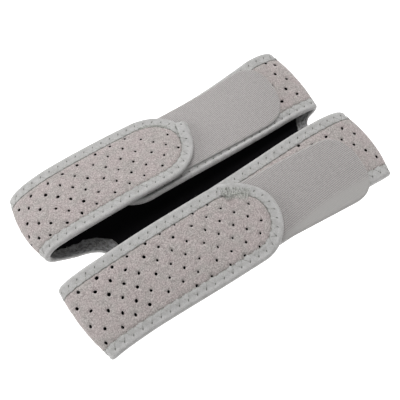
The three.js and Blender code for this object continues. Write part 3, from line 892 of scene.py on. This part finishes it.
def clothSheet(name, materials, inset, step, outerDepth, innerDepth, punched):
    # a closed sheet over the whole cut: outer face, inner face, edge, and the walls of its holes
    points = []
    cutPlaces = []
    faces = []
    slots = []
    sides = punch["sides"]
    count = 0
    for seed, region in enumerate(("base", *arms)):
        loop, marks = regionLoop(region, inset, step)
        edges = trueEdges(region)
        centres = holesIn(region, loop, edges) if punched else np.zeros((0, 2))
        rings = punchRings(centres, seed, region != "base")
        flat = np.vstack([loop, *rings, fillPoints(region, loop, centres, step)])
        ringEdges = []
        for k in range(len(rings)):
            first = len(loop) + k * sides
            ringEdges.extend((first + i, first + (i + 1) % sides) for i in range(sides))
        corners = [Vector(p) for p in flat]
        border = [list(range(len(loop)))]
        made = delaunay_2d_cdt(corners, ringEdges, border, insideOnly, spacing["same"])
        flat = np.array([tuple(p) for p in made[0]])
        source = [o[0] if o else -1 for o in made[3]]
        place = {o: i for i, o in enumerate(source) if o >= 0}
        ringEnd = len(loop) + len(rings) * sides

        def ringOf(i):
            o = source[i]
            return (o - len(loop)) // sides if len(loop) <= o < ringEnd else -1

        triangles = []
        for t in made[2]:
            owners = {ringOf(i) for i in t}
            if len(owners) > 1 or -1 in owners:  # not the disc inside a hole
                triangles.append(t)
        inEdge = distanceTo(edges, flat)
        for o, mark in enumerate(marks):
            if mark:
                inEdge[place[o]] = min(mark[1], bandWidth - mark[1])
        outerAt = outerDepth(region, flat, inEdge)
        innerAt = innerDepth(region, flat, inEdge)
        for o in range(len(loop), ringEnd):
            outerAt[place[o]] += punch["rim"]
        both = []
        for depth in (outerAt, innerAt):
            p = placeCut(region, flat[:, 0], flat[:, 1], depth)
            for o, mark in enumerate(marks):
                if mark and region == "base":
                    i = place[o]
                    p[i] = placeCut(mark[0], 0.0, mark[1], depth[i:i + 1])[0]
            both.append(p)
        n = len(flat)
        points.extend(both)
        fromTape = inEdge[:, None] - bindingTape["width"]
        cutPlaces.extend([np.hstack([flat + regionShift[region], fromTape])] * 2)
        for a, b, c in triangles:
            faces.append((count + a, count + b, count + c))
            faces.append((count + n + a, count + n + c, count + n + b))
            slots.extend((0, 0))

        def wall(first, second, slot):
            a = count + place[first]
            b = count + place[second]
            faces.append((a, b, b + n, a + n))
            slots.append(slot)

        for o in range(len(loop)):
            after = (o + 1) % len(loop)
            onFold = marks[o] and marks[after] and marks[o][0] == marks[after][0]
            if not onFold:
                wall(o, after, 0)
        for first, second in ringEdges:
            wall(first, second, 1)
        count += 2 * n
    return makePiece(name, np.vstack(points), faces, materials, np.vstack(cutPlaces), slots)


def besideNotch(x, y, reach):
    # 1 beside the left notch, else 0
    return (x < cut["notchSide"]) * (np.abs(y) < reach)


def heldDown(inEdge, tapeWidth):
    # how deep the binding presses the cloth
    return padding["underTape"] * (1 - softStep(inEdge - tapeWidth, *padding["tuck"]))


def evenDepth(depth):
    return lambda region, flat, inEdge: np.full(len(flat), depth)


def shellOuter(region, flat, inEdge):
    puff = padding["puff"] * softStep(inEdge, *padding["puffAt"])
    return heldDown(inEdge, bindingTape["width"]) - puff


def liningInner(region, flat, inEdge):
    tapeWidth = np.full(len(flat), bindingTape["width"])
    if region == "base":
        wider = besideNotch(flat[:, 0], flat[:, 1], padding["notchReach"])
        tapeWidth += bindingTape["notchExtra"] * wider
    return wallDepth - heldDown(inEdge, tapeWidth)


shell = clothSheet("bodyShell", [shellMaterial, holeMaterial],
                   padding["shellInset"], padding["shellStep"],
                   shellOuter, evenDepth(padding["shellInner"]), True)
lining = clothSheet("bodyLining", [liningMaterial],
                    padding["liningInset"], padding["liningStep"],
                    evenDepth(padding["liningTop"]), liningInner, False)

# shape of the folded and swept tape, mm
tapeShape = {
    "foldReach": 1.7,
    "sectionRows": (1.5, 2.5, 3.3, 3.9, 4.6, 5.3),  # from the raw edge
    "faceFrom": 0.9,  # from the middle of the wall
    "lapStep": 1.2,
    "lapGap": 0.1,  # between the two tapes of a joint
    "lapEase": (-1.0, 4.0),  # where the upper tape comes down, from the end of the lower
    "notchReach": 12.0,  # of the wider and pleated stretch in the left notch
    "widerFrom": -78.0,  # x, the full extra width from here on
    "pleat": 0.45,
    "pleatLength": 2.7,
    "rollBeside": 2.0,  # fuller roll beside the back hook strap, and the groove behind it
    "groove": 0.6,
    "besideFrom": (30, 50),
    "besideReach": 5.0,
    "cornerCut": 1.4,  # soft corner of a cut end
    "cornerLength": 2.2,
    "ragged": 0.4,
}


def tapeSection():
    # closed section of the folded tape as inset from the edge and depth, outer face first
    wide = bindingTape["width"]
    thick = bindingTape["thick"]
    half = wallDepth / 2
    reach = tapeShape["foldReach"]
    nose = np.linspace(math.pi / 2, -math.pi / 2, 9)
    rawEdge = [(wide, 0.12), (wide - 0.6, 0.03)]
    top = rawEdge + [(wide - x, 0.0) for x in tapeShape["sectionRows"]]
    outerNose = [(reach - reach * math.cos(a), half - half * math.sin(a)) for a in nose]
    low = [(inset, wallDepth - depth) for inset, depth in reversed(top)]
    innerNose = [(reach - math.cos(a), half + (half - thick) * math.sin(a)) for a in nose]
    outside = top + outerNose + low
    return np.array(outside + [(wide, wallDepth - thick)] + innerNose + [(wide, thick)]), len(outside)


# joints of the two tapes: arm, angle on its round tip in degrees, how far the upper tape laps on
tapeJoints = {
    "back": ("backTab", -13.6, 14.2),
    "front": ("frontTab", -66.0, 6.0),
}
tapeStride = 3  # stations of the fine edge to a row of the tape


def jointStation(key):
    armName, angle, _ = tapeJoints[key]
    s, v, _, _ = tipEdge(arms[armName], np.radians([angle]))
    return fineEdge.nearest(armName, s[0], v[0])


def lapLift(key, along):
    # the upper tape lies a tape's thickness higher where it laps on, then comes down
    lap = tapeJoints[key][2]
    around = fineEdge.around
    fromEnd = (along - fineEdge.along[jointStation(key)] + lap + around / 2) % around - around / 2
    gap = tapeShape["lapGap"]
    low, high = tapeShape["lapEase"]
    raised = (fromEnd > -gap) * (1 - softStep(fromEnd, lap + low, lap + high))
    return (bindingTape["thick"] + gap) * raised


def ridge(inset, middle, reach):
    return np.exp(-((inset - middle) / reach) ** 2)


def sweepTape(name, fromJoint, toJoint):
    # tape from joint to joint, its first stretch laps straight on over the end of the other tape
    section, outsideCount = tapeSection()
    edge = fineEdge
    first = jointStation(fromJoint)
    count = (jointStation(toJoint) - first) % edge.count
    lap = tapeJoints[fromJoint][2]
    rows = (first + np.append(np.arange(0, count, tapeStride), count)) % edge.count
    shape = tapeShape
    lapCount = int(lap / shape["lapStep"])
    back = np.arange(lapCount, 0, -1) * lap / lapCount
    onward = first + tapeStride
    ahead = np.array([edge.a[first] - edge.a[onward], edge.b[first] - edge.b[onward]])
    ahead /= np.hypot(*ahead)
    over = np.concatenate([back, np.zeros(len(rows))])
    rows = np.concatenate([np.full(lapCount, first), rows])
    a = edge.a[rows] + ahead[0] * over
    b = edge.b[rows] + ahead[1] * over
    run = CutEdge(edge.region[rows], a, b, edge.inA[rows], edge.inB[rows])
    along = edge.along[rows] + np.where(rows < first, edge.around, 0) - over
    fromEnd = along - along[0]
    lift = lapLift(fromJoint, along)
    inNotch = (run.region == "base") * besideNotch(run.a, run.b, shape["notchReach"])
    extra = bindingTape["notchExtra"] * inNotch * softStep(run.a, cut["foldLeft"], shape["widerFrom"])
    pleat = shape["pleat"] * inNotch * np.sin(2 * np.pi * along / shape["pleatLength"] + np.sin(along))
    wave = np.cos(2 * np.pi * along / stitchStep)
    beside = (run.region == "backArm") * (run.b < shape["besideReach"])
    beside = beside * softStep(run.a, *shape["besideFrom"])
    roll = bindingTape["roll"] * (1 + shape["rollBeside"] * beside)
    groove = shape["groove"] * beside
    rowGap = bindingTape["outerRow"] - bindingTape["innerRow"]
    zig = bindingTape["innerRow"] + rowGap * (0.5 - 0.5 * wave)
    corner = shape["cornerCut"] * (1 - np.clip(fromEnd / shape["cornerLength"], 0, 1)) ** 2
    points = []
    places = []
    for k, (inset, depth) in enumerate(section):
        fromMiddle = depth - wallDepth / 2
        face = int(np.sign(fromMiddle)) if abs(fromMiddle) > shape["faceFrom"] else 0
        outside = k < outsideCount
        shift = np.zeros(len(along))
        if outside:
            shift -= bindingTape["press"] * ridge(inset, zig, 0.9)
            shift -= groove * ridge(inset, bindingTape["innerRow"], 0.7)
            shift += roll * ridge(inset, 1.9, 1.3) * (1 + 0.3 * wave)
            shift += 0.1 * ridge(inset, 5.9, 1.0)
            shift += pleat * softStep(inset, 2, 6)
        ragged = shape["ragged"] * wave * (inset == bindingTape["width"])
        d = depth + face * (lift + shift)
        i = inset + ragged + extra * softStep(inset, 3, bindingTape["width"]) + corner * (inset < 2)
        i = i - lift * (face == 0)
        points.append(run.place(i, d))
        side = face if face else -1
        spot = (inset * side, bindingTape["width"] - inset)
        places.append(np.column_stack([along, np.tile(spot, (len(along), 1))]))
    n = len(section)
    m = len(along)
    points = np.stack(points, axis=1).reshape(-1, 3)
    places = np.stack(places, axis=1).reshape(-1, 3)
    faces = []
    for i in range(m - 1):
        for k in range(n):
            j = (k + 1) % n
            faces.append((i * n + k, i * n + j, (i + 1) * n + j, (i + 1) * n + k))
    # square-cut ends, closed in strips between the outer and the inner side
    for row in (0, m - 1):
        outerSide = list(range(row * n, row * n + outsideCount))
        innerSide = list(range(row * n + n - 1, row * n + outsideCount - 1, -1))
        share = np.linspace(0, len(innerSide) - 1, len(outerSide)).round().astype(int)
        for k in range(len(outerSide) - 1):
            a = innerSide[share[k]]
            b = innerSide[share[k + 1]]
            strip = (outerSide[k], outerSide[k + 1], b)
            faces.append(strip if a == b else strip + (a,))
    return makePiece(name, points, faces, [tapeMaterial], places)


bindingNotch = sweepTape("bindingNotch", "back", "front")
bindingOuter = sweepTape("bindingOuter", "front", "back")

# zigzag seam that holds the binding, on both faces
seam = {
    "radius": 0.13,
    "tackRadius": 0.2,  # close stitches lie double
    "tackStep": 1.5,
    "stand": 0.06,
    "sunk": 0.25,
    "sides": 5,
    "points": 6,
    "endThick": 0.5,  # share of the radius at both ends of a stitch
    "clear": 0.4,  # lowest stitch, none between the base and the table
}
# close stitches over the joints: arm, from and to along it, outer edge or inner,
# nearest and farthest inset
jointTacks = [
    ("backTab", 129.0, 150.0, True, 5.6, 9.0),
    ("frontTab", 142.5, 162.0, False, 1.6, 9.6),
    ("frontTab", 144.5, 160.5, False, 5.5, 11.8),
]


def zigzag(start, end, step, near, far):
    # distance along the edge, inset and height of the points of each leg
    count = int(round((end - start) / step))
    legs = np.arange(2 * count)
    f = np.linspace(0, 1, seam["points"])
    along = start + legs[:, None] * step / 2 + f * step / 2
    swing = np.where(legs[:, None] % 2 == 0, f, 1 - f)
    stand = np.sin(f * math.pi) ** 0.5 * (seam["stand"] + seam["sunk"]) - seam["sunk"]
    return along, near + (far - near) * swing, np.broadcast_to(stand, along.shape)


def tackEnds(armName, low, high, outer):
    # where a row of close stitches starts and ends along the whole edge
    arm = arms[armName]
    ends = []
    for s in (low, high):
        reach = arm.tipOuter if outer else arm.tipInner
        past = max(s - (arm.reach - reach), 0) / reach
        swing = math.sqrt(1 - min(past, 1) ** 2) * (1 if outer else -1)
        v = bandWidth / 2 * (1 + swing)
        ends.append(fineEdge.along[fineEdge.nearest(armName, s, v)])
    return min(ends), max(ends)


def sewSeam(name):
    edge = fineEdge
    runs = [zigzag(0.0, edge.around, stitchStep, bindingTape["innerRow"], bindingTape["outerRow"])]
    for armName, low, high, outer, near, far in jointTacks:
        start, end = tackEnds(armName, low, high, outer)
        runs.append(zigzag(start, end, seam["tackStep"], near, far))
    along, inset, stand = (np.vstack([run[k] for run in runs]) for k in range(3))
    radius = np.full(along.shape, seam["tackRadius"])
    radius[:len(runs[0][0])] = seam["radius"]
    stand = stand + lapLift("back", along) + lapLift("front", along)
    turn = np.linspace(0, 2 * math.pi, seam["sides"], endpoint=False)
    f = np.linspace(0, 1, seam["points"])
    points = []
    faces = []
    places = []
    total = 0
    rows = np.clip(np.searchsorted(edge.along, along.ravel()), 0, edge.count - 1)
    for face in (-1, 1):
        depth = (wallDepth if face > 0 else 0.0) + face * stand.ravel()
        middle = edge.place(inset.ravel(), depth, rows)
        up = edge.place(inset.ravel(), depth + face, rows) - middle
        line = middle.reshape(*along.shape, 3)
        ahead = unit(np.gradient(line, axis=1).reshape(-1, 3))
        side = unit(np.cross(ahead, unit(up)))
        thick = (radius * np.where((f == 0) | (f == 1), seam["endThick"], 1.0)).reshape(-1, 1)
        for angle in turn:
            spoke = side * math.cos(angle) + np.cross(side, ahead) * math.sin(angle)
            points.append(middle + spoke * thick)
            places.append(np.stack([along.ravel(), inset.ravel(), stand.ravel()], axis=1))
        n = len(middle)
        clear = line[:, :, 2].min(axis=1) > seam["clear"]
        for leg in np.nonzero(clear)[0].tolist():
            base = total + leg * seam["points"]
            for i in range(seam["points"] - 1):
                for k in range(seam["sides"]):
                    j = (k + 1) % seam["sides"]
                    a = base + i + k * n
                    b = base + i + j * n
                    faces.append((a, b, b + 1, a + 1))
            faces.append([base + k * n for k in range(seam["sides"])])
            faces.append([base + seam["points"] - 1 + k * n for k in reversed(range(seam["sides"]))])
        total += n * seam["sides"]
    return makePiece(name, np.vstack(points), faces, [threadMaterial], np.vstack(places))


bindingSeam = sewSeam("bindingSeam")

# hook straps: the arm below, middle of the hidden end and of the free end, x and y in mm,
# roundness of the back and front corner, and how wide the smooth border along the front edge grows
hookPlans = {
    "hookStrapBack": ("backArm", (-14.0, 35.5), (84.1, 34.6), 0.8, 1.0, 0.0),
    "hookStrapFront": ("frontArm", (2.0, -35.8), (96.6, -43.2), 0.88, 0.72, 10.2),
}


def heightOn(arm, x, y):
    # height of the arm's outer face above a point of the table
    own = arm.q >= arm.pastFold
    middle = arm.surface(arm.q[own], np.full(own.sum(), 0.5))
    q = np.interp(-x, -middle[:, 0], arm.q[own])
    inner = arm.surface(q, np.zeros(len(q)))
    outer = arm.surface(q, np.ones(len(q)))
    t = (y - inner[:, 1]) / (outer[:, 1] - inner[:, 1])
    return arm.surface(q, np.clip(t, -0.3, 1.3))[:, 2]  # a little past the edges too


def layHookStrap(name):
    armName, start, end, backCorner, frontCorner, border = hookPlans[name]
    start = np.array(start)
    end = np.array(end)
    length = np.linalg.norm(end - start)
    ahead = (end - start) / length
    across = np.array([-ahead[1], ahead[0]])
    strap = hookTape
    straight = length - strap["tipLength"]
    turn = np.linspace(0, math.pi / 2, strap["tipRows"])[1:]
    tipStops = straight + strap["tipLength"] * np.sin(turn) ** strap["tipEase"]
    stops = np.concatenate([np.linspace(0, straight, strap["rows"]), tipStops])
    columns = np.sin(np.linspace(-1, 1, strap["columns"]) * math.pi / 2)
    s = np.repeat(stops[:, None], len(columns), axis=1)
    corner = np.where(columns > 0, backCorner, frontCorner)
    tipClosing = np.maximum(np.cos(turn), 0)[:, None] ** corner
    closing = np.vstack([np.ones((strap["rows"], len(columns))), tipClosing])
    half = np.maximum(closing * strap["width"] / 2, strap["narrowest"])
    c = half * columns
    rim = np.minimum(half - np.abs(c), length - s)
    plan = start + s[..., None] * ahead + c[..., None] * across
    height = heightOn(arms[armName], plan[..., 0].ravel(), plan[..., 1].ravel()).reshape(s.shape)
    low = height + strap["rise"]
    full = strap["rimThick"] + (1 - strap["rimThick"]) * softStep(rim, 0, strap["rimFall"])
    top = low + strap["thick"] * full
    upper = np.dstack([plan, top]).reshape(-1, 3)
    lower = np.dstack([plan, low]).reshape(-1, 3)
    rowCount, m = s.shape
    n = rowCount * m
    faces = []
    for i in range(rowCount - 1):
        for k in range(m - 1):
            a = i * m + k
            faces.append((a, a + m, a + m + 1, a + 1))
            faces.append((n + a, n + a + 1, n + a + m + 1, n + a + m))
    outline = [i * m for i in range(rowCount)] + [n - m + k for k in range(1, m)]
    outline += [i * m + m - 1 for i in range(rowCount - 2, -1, -1)] + list(range(m - 2, 0, -1))
    for a, b in zip(outline, outline[1:] + outline[:1]):
        faces.append((a, b, n + b, n + a))
    # the border counts as rim, with a soft limit, and so takes the rim's colour with its painted
    # highlight
    if border:
        grown = softStep(s, *(length * share for share in strap["borderGrows"]))
        fromBorder = c + strap["width"] / 2 - border * grown
        level = strap["rimWidth"] * strap["borderLevel"]
        rim = np.minimum(rim, fromBorder / strap["borderFade"] + level)
    places = np.stack([s.ravel(), c.ravel(), rim.ravel()], axis=1)
    points = np.vstack([upper, lower])
    return makePiece(name, points, faces, [hookMaterial], np.vstack([places, places]))


hookBack = layHookStrap("hookStrapBack")
hookFront = layHookStrap("hookStrapFront")

# each piece stands for its solid and rides with it
pieceNodes = [
    (shell, "body_shell", "shell_fabric"),
    (lining, "body_lining", "lining_knit"),
    (bindingNotch, "binding_notch", "binding_tape"),
    (bindingOuter, "binding_outer", "binding_tape"),
    (hookBack, "hook_strap_back", "hook_tape"),
    (hookFront, "hook_strap_front", "hook_tape"),
]
for piece, node, slotName in pieceNodes:
    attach(piece, "root")
    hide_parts(node)
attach(bindingSeam, "root")

print("pieces placed on the frame")

# pale table, soft light, camera at the picture's angle
studio = {
    "azimuth": -34.2,
    "elevation": 62.3,
    "distance": 0.518,
    "lens": 72.0,
    "sensor": 36.0,
    "clipStart": 0.01,
    "shiftX": 0.005,
    "shiftY": -0.00625,
    "tableSize": 6.0,
    "tableDrop": 0.0002,  # just under the part
    "tableColour": (110, 110, 110),
    "tableGlow": 1.3,
    "roomLight": 0.1,
}
# place of each lamp in metres, size, power
lamps = {
    "overhead": ((0.1, 0.44, 0.97), 0.8, 5.5),
    "leftFill": ((-0.9, 0.45, 0.5), 0.6, 5.6),
    "rightFill": ((0.8, 0.6, 0.7), 0.8, 4.2),
    "frontFill": ((0.5, -0.8, 0.75), 0.8, 2.9),
}


def setStudio():
    bpy.ops.mesh.primitive_plane_add(size=studio["tableSize"], location=(0, 0, -studio["tableDrop"]))
    floor = bpy.context.object
    floor.name = "floor"
    pale = Finish("paleTable", linear(*studio["tableColour"]), 0.9)
    pale.shader.inputs["Emission Color"].default_value = (1, 1, 1, 1)
    pale.shader.inputs["Emission Strength"].default_value = studio["tableGlow"]
    floor.data.materials.append(pale.material)
    world = bpy.data.worlds.new("softRoom")
    bpy.context.scene.world = world
    world.use_nodes = True
    backdrop = world.node_tree.nodes["Background"]
    backdrop.inputs["Color"].default_value = (1, 1, 1, 1)
    backdrop.inputs["Strength"].default_value = studio["roomLight"]
    for name, (place, size, power) in lamps.items():
        lamp = bpy.data.lights.new(name, "AREA")
        lamp.energy = power
        lamp.size = size
        lampObject = bpy.data.objects.new(name, lamp)
        lampObject.location = place
        lampObject.rotation_euler = (-Vector(place)).to_track_quat("-Z", "Y").to_euler()
        bpy.context.scene.collection.objects.link(lampObject)
    camera = bpy.data.cameras.new("camera")
    camera.lens = studio["lens"]
    camera.sensor_width = studio["sensor"]
    camera.shift_x = studio["shiftX"]
    camera.shift_y = studio["shiftY"]
    camera.clip_start = studio["clipStart"]
    cameraObject = bpy.data.objects.new("camera", camera)
    turn = math.radians(studio["azimuth"])
    lift = math.radians(studio["elevation"])
    back = Vector((math.sin(turn) * math.cos(lift), -math.cos(turn) * math.cos(lift), math.sin(lift)))
    cameraObject.location = back * studio["distance"]
    cameraObject.rotation_mode = "QUATERNION"
    cameraObject.rotation_quaternion = (-back).to_track_quat("-Z", "Y")
    bpy.context.scene.collection.objects.link(cameraObject)
    bpy.context.scene.camera = cameraObject
    bpy.context.scene.view_settings.view_transform = "Standard"


setStudio()
print("studio set")
